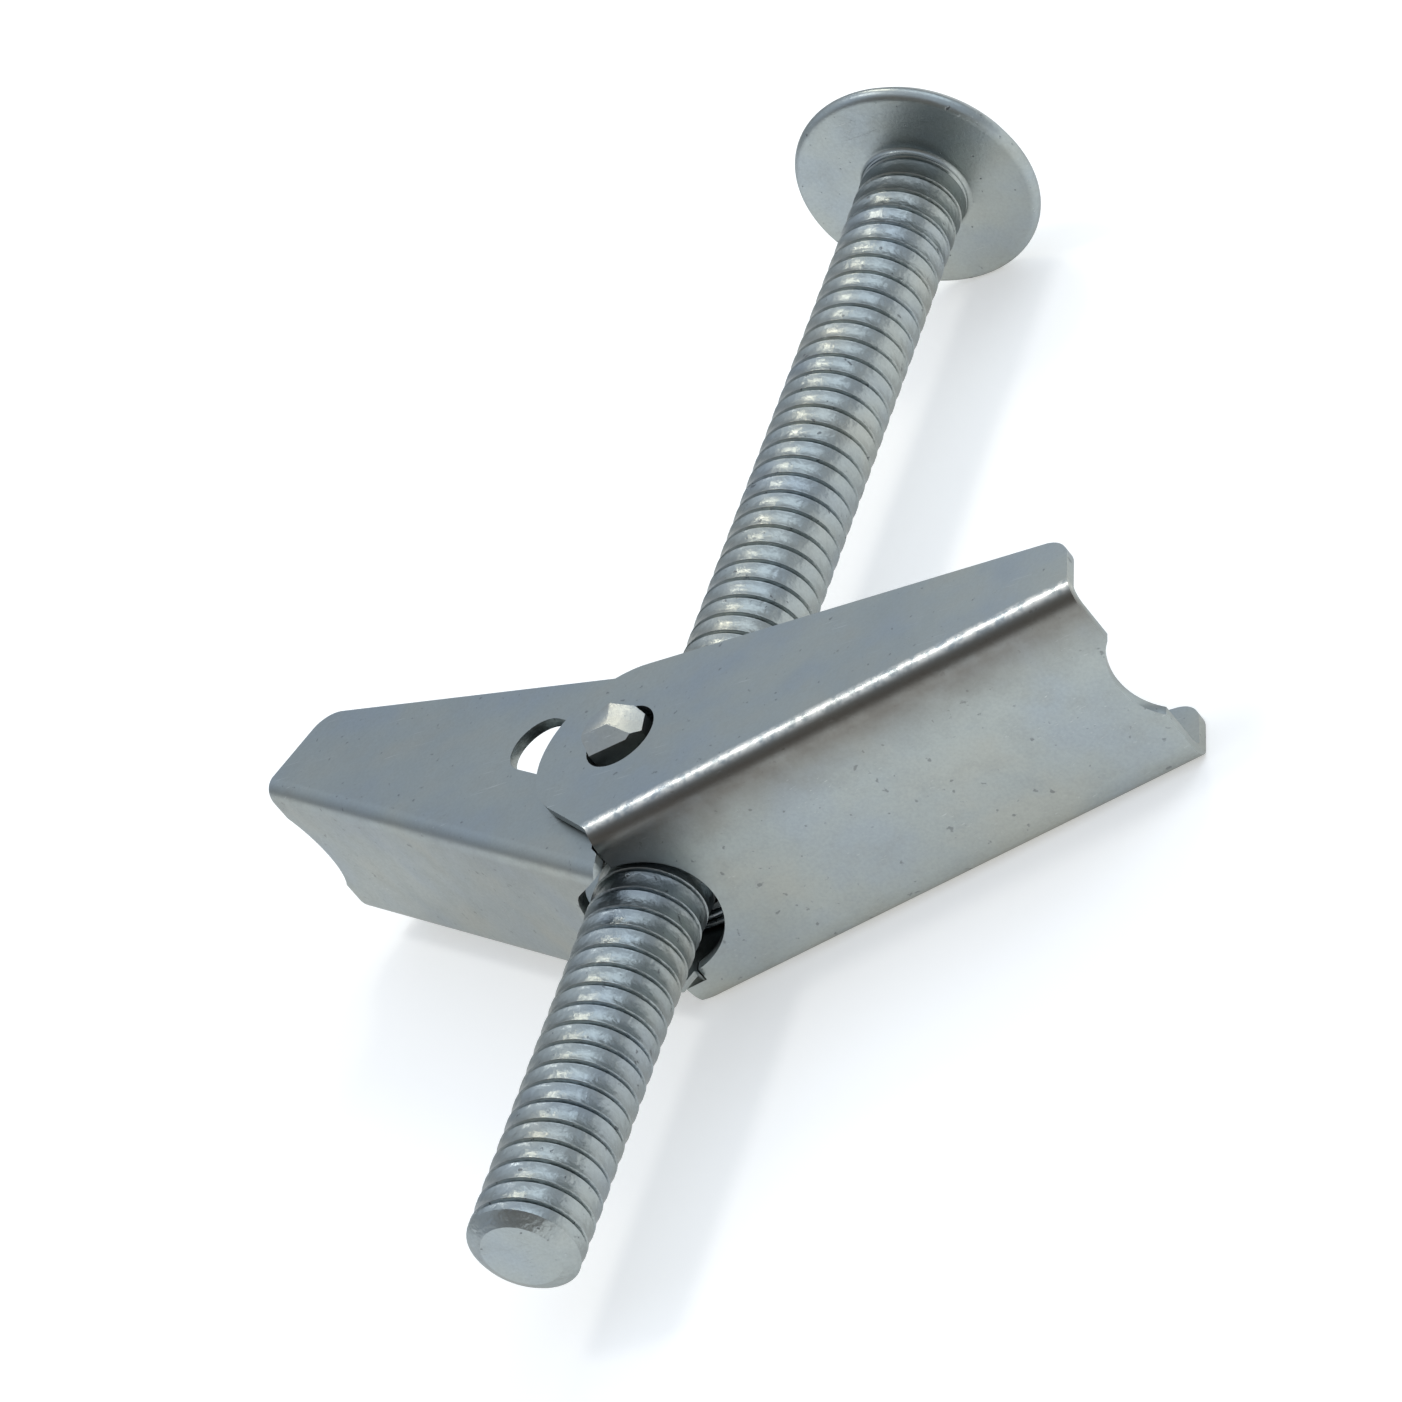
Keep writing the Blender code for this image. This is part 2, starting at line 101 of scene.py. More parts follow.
def rod(name, radius, length, at, axis, sides=64):
    clearSelection()
    turn = Vector((0, 0, 1)).rotation_difference(Vector(axis)).to_euler()
    bpy.ops.mesh.primitive_cylinder_add(
        vertices=sides, radius=radius * mm, depth=length * mm,
        location=Vector(at) * mm, rotation=turn,
    )
    obj = bpy.context.object
    obj.name = name
    return settle(obj)


def finish(obj, kind, **settings):
    # adds one modifier with its settings and applies it
    pick(obj)
    step = obj.modifiers.new(kind.lower(), kind)
    for name, value in settings.items():
        setattr(step, name, value)
    bpy.ops.object.modifier_apply(modifier=step.name)
    return obj


def cut(obj, tool, operation="DIFFERENCE"):
    finish(obj, "BOOLEAN", operation=operation, solver="EXACT", object=tool)
    bpy.data.meshes.remove(tool.data)
    return obj


def settle(obj):
    # the place goes into the mesh, so the object sits at the origin
    pick(obj)
    bpy.ops.object.transform_apply(location=True, rotation=True, scale=True)
    return obj


def moveTo(obj, turn, shift):
    obj.rotation_euler = [math.radians(angle) for angle in turn]
    obj.location = pivot + Vector(shift) * mm
    return settle(obj)


def cleanUp(obj, within=0.002):
    pick(obj)
    bpy.ops.object.mode_set(mode="EDIT")
    bpy.ops.mesh.select_all(action="SELECT")
    bpy.ops.mesh.remove_doubles(threshold=within * mm)
    bpy.ops.mesh.dissolve_degenerate(threshold=0.5 * within * mm)
    bpy.ops.mesh.normals_make_consistent(inside=False)
    bpy.ops.object.mode_set(mode="OBJECT")
    return obj


def softenEdges(obj, width, segments=2, angle=32):
    return finish(
        obj, "BEVEL", width=width * mm, segments=segments, limit_method="ANGLE",
        angle_limit=math.radians(angle), use_clamp_overlap=True, miter_outer="MITER_ARC",
    )


def smoothShading(obj, angle=38):
    pick(obj)
    bpy.ops.object.shade_smooth_by_angle(angle=math.radians(angle))
    return finish(obj, "WEIGHTED_NORMAL", keep_sharp=True, weight=60)


def arcOf(centre, radius, first, last, steps):
    angles = [math.radians(first + (last - first) * i / steps) for i in range(steps + 1)]
    return [(centre[0] + radius * math.cos(a), centre[1] + radius * math.sin(a)) for a in angles]


class Number:
    # a shader socket that can be added, multiplied and so on
    def __init__(self, maker, socket):
        self.maker, self.socket = maker, socket

    def use(self, operation, *values):
        return self.maker.node("ShaderNodeMath", {"operation": operation}, dict(enumerate(values)))

    def __add__(self, other):
        return self.use("ADD", self, other)

    def __sub__(self, other):
        return self.use("SUBTRACT", self, other)

    def __mul__(self, other):
        return self.use("MULTIPLY", self, other)

    def __pow__(self, other):
        return self.use("POWER", self, other)

    def __radd__(self, other):
        return self.use("ADD", other, self)

    def __rsub__(self, other):
        return self.use("SUBTRACT", other, self)

    def __rmul__(self, other):
        return self.use("MULTIPLY", other, self)


class Nodes:
    def __init__(self, tree):
        self.tree = tree

    def node(self, kind, settings=None, sockets=None, output=0):
        made = self.tree.nodes.new(kind)
        for name, value in (settings or {}).items():
            setattr(made, name, value)
        for name, value in (sockets or {}).items():
            self.feed(made.inputs[name], value)
        return Number(self, made.outputs[output])

    def feed(self, socket, value):
        if isinstance(value, Number):
            self.tree.links.new(value.socket, socket)
        elif isinstance(value, tuple) and len(value) == 3 and socket.type == "RGBA":
            socket.default_value = (*value, 1)
        else:
            socket.default_value = value

    def dot(self, place, direction):
        return self.node(
            "ShaderNodeVectorMath", {"operation": "DOT_PRODUCT"}, {0: place, 1: direction}, "Value"
        )

    def band(self, value, low, high, start=0.0, end=1.0):
        return self.node(
            "ShaderNodeMapRange", {"clamp": True},
            {"Value": value, "From Min": low, "From Max": high, "To Min": start, "To Max": end},
        )

    def blend(self, amount, first, second):
        return self.node("ShaderNodeMix", {"data_type": "RGBA"}, {0: amount, 6: first, 7: second}, 2)


class Finish(Nodes):
    def __init__(self, name):
        self.material = bpy.data.materials.new(name)
        self.material.use_nodes = True
        super().__init__(self.material.node_tree)
        self.shader = self.tree.nodes["Principled BSDF"]
        self.place = self.node("ShaderNodeTexCoord", output="Object")

    def along(self, direction, origin=(0, 0, 0)):
        # how far a point lies along a direction from the pivot, in millimetres
        start = pivot + Vector(origin) * mm
        offset = self.node("ShaderNodeVectorMath", {"operation": "SUBTRACT"}, {0: self.place, 1: start})
        return self.dot(offset, Vector(direction).normalized() / mm)

    def noise(self, scale, detail=3.0, rough=0.55, turn=(0, 0, 0)):
        # read in millimetres, turned and stretched
        angles = [math.radians(a) for a in turn]
        place = self.node(
            "ShaderNodeMapping", {"vector_type": "POINT"},
            {"Vector": self.place, "Rotation": angles, "Scale": [s / mm for s in scale]},
        )
        return self.node(
            "ShaderNodeTexNoise", {},
            {"Vector": place, "Scale": 1.0, "Detail": detail, "Roughness": rough},
        )

    def bump(self, height, strength, distance):
        return self.node(
            "ShaderNodeBump", {},
            {"Height": height, "Strength": strength, "Distance": distance * mm},
        )


zincNoise = {
    "cloud": ((0.14, 0.14, 0.14), 3.0),
    "hue": ((0.22, 0.3, 0.26), 3.0, 0.5, (40, 20, 70)),
    "patch": ((0.7, 0.7, 0.7), 4.0, 0.6),
    "grain": ((7, 7, 7), 2.0, 0.6),
    "dust": ((2.6, 2.6, 2.6), 2.0, 0.5),
    "gate": ((0.35, 0.35, 0.35), 2.0),
    "hairs": ((0.35, 11, 11), 2.0, 0.4),
    "crossed": ((0.4, 12, 12), 2.0, 0.4),
}
zincTones = {
    "shade": ("cloud", 0.35, 0.66), "blue": ("hue", 0.50, 0.66, 0.0, 0.8),
    "warm": ("hue", 0.47, 0.33, 0.0, 0.7), "stain": ("patch", 0.5, 0.72, 0.0, 0.35),
    "dark": ("grain", 0.3, 0.7, 0.0, 0.12),
}
zincMarks = {
    "gate": (0.5, 0.62), "hairs": (0.70, 0.75), "crossed": (0.71, 0.76), "specks": (0.69, 0.74),
    "scratchTone": 0.45,
}
zincRelief = {
    "grain": 0.3, "patch": 0.8, "specks": -0.6, "scratches": -0.4, "cloud": 2.0, "distance": 0.03,
    "bareRough": (0.3, 0.7, -0.03, 0.05), "grainRough": (0.3, 0.7, -0.03, 0.03),
}


def zincPlate(name, look):
    # dull zinc over rolled steel: faint blue and warm clouds, fine grain, specks and hairlines
    made = Finish(name)
    turns = {"hairs": (look["hairTurn"],), "crossed": (look["crossTurn"],)}
    noises = {kind: made.noise(*values, *turns.get(kind, ())) for kind, values in zincNoise.items()}
    marks, relief = zincMarks, zincRelief
    lines = made.band(noises["hairs"], *marks["hairs"]) + made.band(noises["crossed"], *marks["crossed"])
    scratches = lines * made.band(noises["gate"], *marks["gate"])
    specks = made.band(noises["dust"], *marks["specks"]) * look["specks"]
    tone = look["light"]
    for tint, (kind, *limits) in zincTones.items():
        tone = made.blend(made.band(noises[kind], *limits), tone, look[tint])
    tone = made.blend(specks, tone, look["dark"])
    tone = made.blend(scratches * marks["scratchTone"], tone, look["bright"])
    # painted highlight: a bright mottled line along the near fold, where the overhead lamp's reflection
    # falls
    if "rub" in look:
        paintedHighlight = rubbedEdge(made, look["fold"], noises["dust"]) * look["rub"]
        tone = made.blend(paintedHighlight, tone, look["rubTint"])
    # painted shade: darkens the web just under the near fold
    if "fold" in look:
        paintedShade = paintedFoldShade(made, look["fold"], noises["patch"]) * look["foldDepth"]
        tone = made.blend(paintedShade, tone, look["foldTint"])
    made.feed(made.shader.inputs["Base Color"], tone)
    rough = look["rough"] + made.band(noises["patch"], *relief["bareRough"])
    rough = rough + made.band(noises["grain"], *relief["grainRough"])
    made.feed(made.shader.inputs["Roughness"], rough)
    made.shader.inputs["Metallic"].default_value = 1.0
    made.shader.inputs["Specular Tint"].default_value = (0.6, 0.6, 0.6, 1)
    pebble = look["pebble"]
    if "pebbleEnd" in look:
        pebble = made.band(made.along((0, 1, 0)), look["pebbleEnd"], look["pebbleEnd"] - 1, 0.1, pebble)
    height = noises["grain"] * relief["grain"] + noises["patch"] * relief["patch"]
    height = height + noises["dust"] * pebble
    height = height + specks * relief["specks"] + scratches * relief["scratches"]
    height = height + noises["cloud"] * relief["cloud"]
    made.feed(made.shader.inputs["Normal"], made.bump(height, look["relief"], relief["distance"]))
    return made.material


# bands for the painted shade on the web under the fold and the painted highlight along the fold
foldPaintedLight = {
    "web": (0.55, 0.15), "strip": (3.9, 1.2), "stripPower": 1.6, "stripMottle": (0.25, 0.6, 0.75, 1.0),
    "line": (0.26, 0.92), "lineEnds": (0.2, 0.22), "lineSide": (0.5, 0.2),
    "lineMottle": (0.38, 0.6, 0.1, 1.0),
}


def besideFold(made, s):
    # a point's height in the wing's own frame, and its place across the channel
    turn = math.radians(s["angle"])
    level = made.along((-s["side"] * math.sin(turn), math.cos(turn), 0))
    return level, made.along((0, 0, 1), (0, 0, s["shift"]))


def paintedFoldShade(made, s, patch):
    # painted shade: the darker strip of web along the near fold, under the bend
    level, across = besideFold(made, s)
    onWeb = made.band(level, *[height - s["depth"] for height in foldPaintedLight["web"]])
    strip = made.band(across, *[s["half"] - inset for inset in foldPaintedLight["strip"]])
    return onWeb * strip ** foldPaintedLight["stripPower"] * made.band(patch, *foldPaintedLight["stripMottle"])


def rubbedEdge(made, s, mottle):
    # painted highlight: the bright mottled line along the near fold, where the overhead lamp is mirrored
    level, across = besideFold(made, s)
    low, high = [height - s["depth"] for height in foldPaintedLight["line"]]
    rise, fall = foldPaintedLight["lineEnds"]
    line = made.band(level, low, low + rise) * made.band(level, high, high - fall)
    line = line * made.band(across, *[s["half"] - inset for inset in foldPaintedLight["lineSide"]])
    return line * made.band(mottle, *foldPaintedLight["lineMottle"])


screwSizes = {
    "radius": 2.4, "pitch": 25.4 / 24, "rootRadius": 2.06, "crestShare": 0.82,
    "crestDip": 0.055, "dipShare": 0.74,
    "headSide": 38.34, "length": 62.73, "headRadius": 5.6, "headHeight": 2.7,
    "headRim": 0.8, "neck": 0.22, "chamfer": 0.44, "tipFlat": 1.70, "tipSide": 2.22, "tipRise": 0.28,
    "slotWidth": 1.3, "slotDepth": 1.3,
    "profileSteps": 28, "stepsPerTurn": 56, "blankSteps": 112, "headSteps": 144,
}


def threadProfile(s):
    # one pitch of a worn rolled thread: a broad crest, hollow in its middle, and a tight groove
    points = []
    for i in range(s["profileSteps"] + 1):
        share = i / s["profileSteps"]
        wave = abs(2 * share - 1)
        groove = max(0, (wave - s["crestShare"]) / (1 - s["crestShare"]))
        depth = s["crestDip"] * max(0, 1 - (wave / s["dipShare"]) ** 2)
        depth += (s["radius"] - s["rootRadius"]) * groove**1.1
        points.append((s["radius"] - depth, share * s["pitch"]))
    return points


def tipPoints(s):
    # the blank's end, from its side over the chamfer to the middle of the tip
    end, side = -s["length"], s["radius"] + 0.01
    corner = [(s["tipSide"], end + s["tipRise"]), (s["tipFlat"], end)]
    return [(0, 0.2), (side, 0.2), (side, end + s["chamfer"])] + corner + [(0, end)]


def buildScrew(s):
    # the thread is swept up past both ends of the blank, and the blank cuts it to length
    turns = int(s["length"] / s["pitch"]) + 5
    screw = drawLine("thread", [(r, 0, h) for r, h in threadProfile(s)])
    finish(
        screw, "SCREW", axis="Z", angle=2 * math.pi, screw_offset=s["pitch"] * mm,
        iterations=turns, steps=s["stepsPerTurn"], render_steps=s["stepsPerTurn"],
        use_merge_vertices=True, merge_threshold=seamMerge,
    )
    pick(screw)
    bpy.ops.object.mode_set(mode="EDIT")
    bpy.ops.mesh.select_all(action="SELECT")
    bpy.ops.mesh.remove_doubles(threshold=0.003 * mm)
    bpy.ops.mesh.fill_holes(sides=0)
    bpy.ops.mesh.select_all(action="SELECT")
    bpy.ops.mesh.normals_make_consistent(inside=False)
    bpy.ops.object.mode_set(mode="OBJECT")
    screw.location = (0, 0, -(s["length"] + 2 * s["pitch"]) * mm)
    settle(screw)
    cut(screw, turned("blank", tipPoints(s), s["blankSteps"]), "INTERSECT")
    head = turned("screwHead", headPoints(s), s["headSteps"])
    cut(head, driverSlot(s))
    cut(screw, head, "UNION")
    cleanUp(screw)
    screw.rotation_euler = (math.radians(-90), 0, 0)
    screw.location = pivot + Vector((0, s["headSide"], 0)) * mm
    settle(screw)
    screw.name = "threaded_screw"
    print("screw faces", len(screw.data.polygons))
    return smoothShading(screw, 28)


def turned(name, points, steps):
    # a solid of revolution from its outline of radius and height
    obj = drawLine(name, [(r, 0, h) for r, h in points])
    finish(
        obj, "SCREW", axis="Z", angle=2 * math.pi, steps=steps, render_steps=steps,
        use_merge_vertices=True, merge_threshold=seamMerge,
    )
    return cleanUp(obj)


def headPoints(s):
    rise = s["headHeight"] - s["headRim"]
    dome = (s["headRadius"] ** 2 + rise**2) / (2 * rise)
    spread = math.degrees(math.asin(s["headRadius"] / dome))
    half = s["headRim"] / 2
    top = arcOf((0, s["headHeight"] - dome), dome, 90, 90 - spread, 28)
    top = [p for p in top if p[0] < s["headRadius"] - 0.9 * half]
    rim = arcOf((s["headRadius"] - half, half), half, 45, -90, 14)
    neck = arcOf((s["radius"] + s["neck"], -s["neck"]), s["neck"], 90, 170, 8)
    return top + rim + neck + [(s["rootRadius"], -0.5), (0, -0.5)]


def driverSlot(s):
    half, floor = s["slotWidth"] / 2, s["headHeight"] - s["slotDepth"]
    outline = [(-half, -9), (half, -9), (half, 9), (-half, 9)]
    return slab("slotCutter", outline, floor, s["headHeight"] + 1)


wingShape = {
    "sheet": 0.5, "taper": 16.2, "earRadius": 4.2,
    "pivotHole": 1.68, "endNotchRadius": 3.1, "endNotchDepth": 0.9, "edgeSoftness": 0.13,
}
outerSizes = {
    "half": 5.165, "depth": 5.5, "foldAcross": 1.2, "foldRise": 0.86, "length": 21.8,
    "heel": -1.5, "lip": -1.5, "farHeel": -2.7, "farCorner": 1.0, "farGap": 0.15,
    "angle": 15.7, "side": 1, "shift": -0.405, "endRound": 1.5,
    "notchAt": -1.9, "notchRadius": 3.2, "notchFlare": 0,
}
innerSizes = {
    "half": 4.06, "depth": 6.3209, "foldAcross": 0.9, "foldRise": 0.75, "length": 21.4,
    "heel": -1.5, "lip": -3.75, "farLip": -2.75, "farRound": 0.5,
    "heelSide": [(-2.40, -4.66), (-2.77, -5.07), (-3.30, -5.24), (-3.62, -5.62)],
    "angle": 28.55, "side": -1, "shift": 0, "endRound": 1.3,
    "notchAt": -2.75, "notchRadius": 2.62, "notchFlare": 30,
    "windowFrom": 2.9, "windowTo": 7.3, "windowHalf": 1.43, "windowLevel": -0.86,
}


def sideOutline(w, s, heel, lip):
    # the ear runs straight down to the heel, and past it where the wing has a lip
    taper = math.radians(w["taper"])
    topAngle = 90 - w["taper"]
    below = -s["depth"] - 1
    edge = s.get("heelSide", [(heel, w["sheet"] - s["depth"])])
    bearing = math.degrees(math.atan2(edge[0][1], edge[0][0])) % 360
    back = bearing - math.degrees(math.acos(w["earRadius"] / math.hypot(*edge[0])))
    outline = arcOf((0, 0), w["earRadius"], topAngle, back, 60)
    outline += edge + [(lip, 0.3 - s["depth"]), (lip, below), (s["length"], below)]
    inset = s["endRound"]
    centre = s["length"] - inset
    level = w["earRadius"] / math.cos(taper) - centre * math.tan(taper) - inset / math.cos(taper)
    return outline + arcOf((centre, level), inset, 0, topAngle, 16)


def foldedPath(w, s):
    # across the channel: flange, fold, web, fold, flange; the fold is softer towards the web
    centre = (s["half"] - s["foldAcross"], s["foldRise"] - s["depth"])
    near = []
    for across, up in arcOf((0, 0), 1, 0, -90, 16):
        near.append((centre[0] + across * s["foldAcross"], centre[1] + up * s["foldRise"]))
    rise = w["earRadius"] + 2
    return [(s["half"], rise)] + near + [(-z, n) for z, n in reversed(near)] + [(-s["half"], rise)]


def buildWing(name, w, s):
    start = -w["earRadius"] - 2
    sheet = drawLine(name, [(start, n, z) for z, n in foldedPath(w, s)])
    pull(sheet, (s["length"] + 4 - start, 0, 0))
    faceWebOutward(sheet)
    finish(sheet, "SOLIDIFY", thickness=w["sheet"] * mm, offset=-1, use_even_offset=True)
    wide = s["half"] + 1
    blank = slab("blankOutline", sideOutline(w, s, s["heel"], s["lip"]), -wide, wide)
    if "farHeel" in s:
        beside = -innerSizes["half"] - s["farGap"] - s["shift"]
        far = slab("farHeel", sideOutline(w, s, s["farHeel"], s["farHeel"]), -wide, beside)
        cut(blank, far, "UNION")
    cut(sheet, blank, "INTERSECT")
    cut(sheet, rod("pivotHole", w["pivotHole"], 2 * wide, (0, 0, 0), (0, 0, 1)))
    if "windowFrom" in s:
        half, level = s["windowHalf"], s["windowLevel"]
        outline = arcOf((s["windowTo"] - half, level), half, -90, 90, 24)
        outline += arcOf((s["windowFrom"] + half, level), half, 90, 270, 24)
        cut(sheet, slab("window", outline, -wide, wide))
    if "farCorner" in s:
        cut(sheet, cornerTool(s, s["farHeel"], -1, s["farCorner"]))
    if "farLip" in s:
        cut(sheet, cornerTool(s, s["farLip"], 1, s["farRound"]))
    cut(sheet, notchTool(s))
    centre = s["length"] + w["endNotchRadius"] - w["endNotchDepth"]
    cut(sheet, rod("endNotch", w["endNotchRadius"], 2.4, (centre, -s["depth"], 0), (0, 1, 0), 96))
    cleanUp(sheet)
    softenEdges(sheet, w["edgeSoftness"])
    return sheet


def cornerTool(s, at, side, size):
    # trims one corner of the web at its pivot end
    edge = s["half"]
    outline = [(at - 2, edge + 1), (at - 2, edge - 3 * size), (at, edge - 3 * size)]
    outline += [(at + 0.3 * size, edge - 0.4 * size), (at + size, edge), (at + size, edge + 1)]
    return webTool("corner", [(x, side * y) for x, y in outline], s)


def notchTool(s):
    # half round where the web meets the screw, its sides running out to the heel
    turn, run = 90 - s["notchFlare"], 2 * s["notchRadius"]
    mouth = arcOf((s["notchAt"], 0), s["notchRadius"], -turn, turn, 56)
    far = mouth[-1][0] - run
    wide = mouth[-1][1] + run * math.tan(math.radians(s["notchFlare"]))
    return webTool("notch", mouth + [(far, wide), (far, -wide)], s)


def webTool(name, outline, s):
    # a cutter drawn in the plane of the web
    tool = slab(name, outline, -1.2, 1.2)
    tool.rotation_euler = (math.radians(90), 0, 0)
    tool.location = (0, -s["depth"] * mm, 0)
    return settle(tool)


def faceWebOutward(sheet):
    pick(sheet)
    web = [p for p in sheet.data.polygons if abs(p.normal.y) > 0.9]
    if sum(p.normal.y for p in web) > 0:
        bpy.ops.object.mode_set(mode="EDIT")
        bpy.ops.mesh.select_all(action="SELECT")
        bpy.ops.mesh.flip_normals()
        bpy.ops.object.mode_set(mode="OBJECT")


def buildOuterWing():
    wing = buildWing("wide_wing", wingShape, outerSizes)
    moveTo(wing, (0, 0, outerSizes["angle"]), (0, 0, outerSizes["shift"]))
    return smoothShading(wing)


def buildInnerWing():
    wing = buildWing("narrow_wing", wingShape, innerSizes)
    moveTo(wing, (0, 180, -innerSizes["angle"]), (0, 0, innerSizes["shift"]))
    return smoothShading(wing)


springSizes = {
    "wire": 0.36, "coilRadius": 3.4, "legLevel": 2.86, "armLevel": 3.3,
    "bridgeAt": 9.0, "legAt": 8.0, "clear": 0.76, "bend": 0.8,
    "coilSteps": 72, "bendSteps": 8,
}


def inWing(side, angle, along, level):
    turn = math.radians(angle)
    return Vector((
        side * (along * math.cos(turn) - level * math.sin(turn)),
        along * math.sin(turn) + level * math.cos(turn),
        0,
    ))


def meetAngle(point, side, radius):
    bearing = math.degrees(math.atan2(point.y, point.x))
    if side < 0 and bearing > 0:
        bearing -= 360
    return bearing - side * math.degrees(math.acos(radius / point.length))


def springPaths(s):
    bridge = inWing(1, outerSizes["angle"], s["bridgeAt"], s["clear"] - outerSizes["depth"])
    leg = inWing(-1, innerSizes["angle"], s["legAt"], s["clear"] - innerSizes["depth"])
    first = meetAngle(bridge, 1, s["coilRadius"])
    last = meetAngle(leg, -1, s["coilRadius"]) - 360
    steps = s["coilSteps"]
    coil = []
    for i in range(steps + 1):
        turn = math.radians(first + (last - first) * i / steps)
        rise = s["armLevel"] + (s["legLevel"] - s["armLevel"]) * i / steps
        coil.append(Vector((s["coilRadius"] * math.cos(turn), s["coilRadius"] * math.sin(turn), rise)))
    run = (bridge - Vector((coil[0].x, coil[0].y, 0))).normalized()
    corner = []
    for i in range(s["bendSteps"] + 1):
        turn = math.radians(90 * i / s["bendSteps"])
        back = s["bend"] * (1 - math.cos(turn))
        rise = s["armLevel"] - s["bend"] * (1 - math.sin(turn))
        corner.append(Vector((bridge.x - run.x * back, bridge.y - run.y * back, rise)))
    arm = corner + [coil[0]]
    return arm, coil, [coil[-1], Vector((leg.x, leg.y, s["legLevel"]))]


def wireAlong(name, points, radius):
    # a round bar drawn along the points, with its ends closed
    clearSelection()
    bpy.ops.curve.primitive_bezier_curve_add()
    obj = bpy.context.object
    obj.name = name
    curve = obj.data
    curve.splines.clear()
    line = curve.splines.new("POLY")
    line.points.add(len(points) - 1)
    for point, at in zip(line.points, points):
        point.co = (*(pivot + at * mm), 1)
    curve.dimensions = "3D"
    curve.bevel_depth = radius * mm
    curve.bevel_resolution = 5
    curve.use_fill_caps = True
    pick(obj)
    bpy.ops.object.convert(target="MESH")
    return smoothShading(cleanUp(bpy.context.object, 0.001), 50)


def mirrored(points):
    return [Vector((p.x, p.y, -p.z)) for p in points]


def joined(name, objects):
    clearSelection()
    for obj in objects:
        obj.select_set(True)
    bpy.context.view_layer.objects.active = objects[0]
    bpy.ops.object.join()
    objects[0].name = name
    return objects[0]


def buildSpring(s):
    arm, coil, leg = springPaths(s)
    radius = s["wire"] / 2
    bridge = wireAlong("spring_bridge", list(reversed(mirrored(arm))) + arm, radius)
    coils = [wireAlong("coilNear", coil, radius), wireAlong("coilFar", mirrored(coil), radius)]
    legs = [wireAlong("legNear", leg, radius), wireAlong("legFar", mirrored(leg), radius)]
    return bridge, joined("spring_coils", coils), joined("spring_legs", legs)


nutSizes = {
    "barrelRadius": 4.2, "barrelHalf": 2.6, "flat": 0.8, "shoulderRadius": 3.1,
    "shoulderHalf": 3.48, "bore": 2.55, "lugEnd": 5.475,
    "lugSides": [
        (-1.50, -0.30), (-1.28, -0.84), (0.52, -0.47), (1.12, -0.02), (0.95, 1.00), (0.45, 1.42),
        (-0.60, 1.42), (-1.40, 0.75),
    ],
    "lugPeak": (-0.24, 0.12), "lugSlopes": [(0.481, 0.093, 0.872), (0.129, -0.630, 0.765)],
    "cutter": 6, "edgeSoftness": 0.07,
}


def buildNut(s):
    nut = rod("cross_nut", s["barrelRadius"], 2 * s["barrelHalf"], (0, 0, 0), (0, 0, 1), 96)
    level = s["barrelRadius"] - s["flat"]
    for side in (1, -1):
        outline = [(-9, side * level), (9, side * level), (9, side * 9), (-9, side * 9)]
        cut(nut, slab("flat", outline, -4, 4))
    cut(nut, rod("shoulder", s["shoulderRadius"], 2 * s["shoulderHalf"], (0, 0, 0), (0, 0, 1)), "UNION")
    for side in (1, -1):
        cut(nut, buildLug(s, side), "UNION")
    cut(nut, rod("bore", s["bore"], 20, (0, 0, 0), (0, 1, 0)))
    cleanUp(nut)
    softenEdges(nut, s["edgeSoftness"])
    nut.location = pivot
    settle(nut)
    return smoothShading(nut)


def buildLug(s, side):
    # a stub with flat sides whose end falls away to the right and to the front
    lug = slab("lug", s["lugSides"], s["shoulderHalf"] - 0.3, s["lugEnd"])
    peak = Vector((*s["lugPeak"], s["lugEnd"]))
    for slope in s["lugSlopes"]:
        away = Vector(slope).normalized()
        clearSelection()
        bpy.ops.mesh.primitive_cube_add(
            size=s["cutter"] * mm, location=(peak + s["cutter"] / 2 * away) * mm,
            rotation=away.to_track_quat("Z", "Y").to_euler(),
        )
        cut(lug, settle(bpy.context.object))
    if side < 0:
        lug.rotation_euler = (0, math.pi, 0)
    return settle(lug)


cameraSettings = {
    "from": (204.94, -229.06, 177.26), "right": (0.78402, 0.26380, -0.56190),
    "down": (-0.23842, -0.70780, -0.66496), "lens": 220.87, "sensor": 36,
}
lampSettings = [
    {
        "name": "overhead", "at": (-0.25, 0.05, 0.85), "size": 0.15,
        "power": 0.9, "colour": (1, 0.97, 0.92),
    },
    {
        "name": "nearHead", "at": (-0.027, 0.12, 0.117), "size": 0.03,
        "power": 0.028, "colour": (1, 0.90, 0.72),
    },
    {
        "name": "window", "at": (0.34, 0.56, 0.56), "size": 0.50,
        "power": 0.9, "colour": (0.84, 0.93, 1),
    },
]
sweepLook = {
    "size": 6, "level": -0.00002, "colour": (0.86, 0.87, 0.86), "rough": 0.9,
    "seenGlow": (0.38, 0.375, 0.37), "mirroredGlow": (0.56, 0.53, 0.49),
}
roomLight = {
    "low": (0.36, 0.37, 0.38), "high": (0.72, 0.79, 0.89), "rise": (0.02, 0.6),
    "shadeToward": (0.05, -0.93, 0.36), "shade": (0.24, 0.22, 0.20), "shadeEdge": (0.68, 0.92),
}


def addCamera(s):
    right, down = Vector(s["right"]), Vector(s["down"])
    ahead = right.cross(down)
    turn = Matrix((right, -down, -ahead)).transposed()
    bpy.ops.object.camera_add(location=pivot + Vector(s["from"]) * mm)
    camera = bpy.context.object
    camera.rotation_euler = turn.to_euler()
    camera.data.lens = s["lens"]
    camera.data.sensor_width = s["sensor"]
    camera.data.clip_start, camera.data.clip_end = 0.01, 20
    bpy.context.scene.camera = camera


def addLamp(s):
    bpy.ops.object.light_add(type="AREA", location=s["at"])
    lamp = bpy.context.object
    lamp.name = s["name"]
    lamp.data.size = s["size"]
    lamp.data.energy = s["power"]
    lamp.data.color = s["colour"]
    lamp.rotation_euler = (pivot - Vector(s["at"])).to_track_quat("-Z", "Y").to_euler()


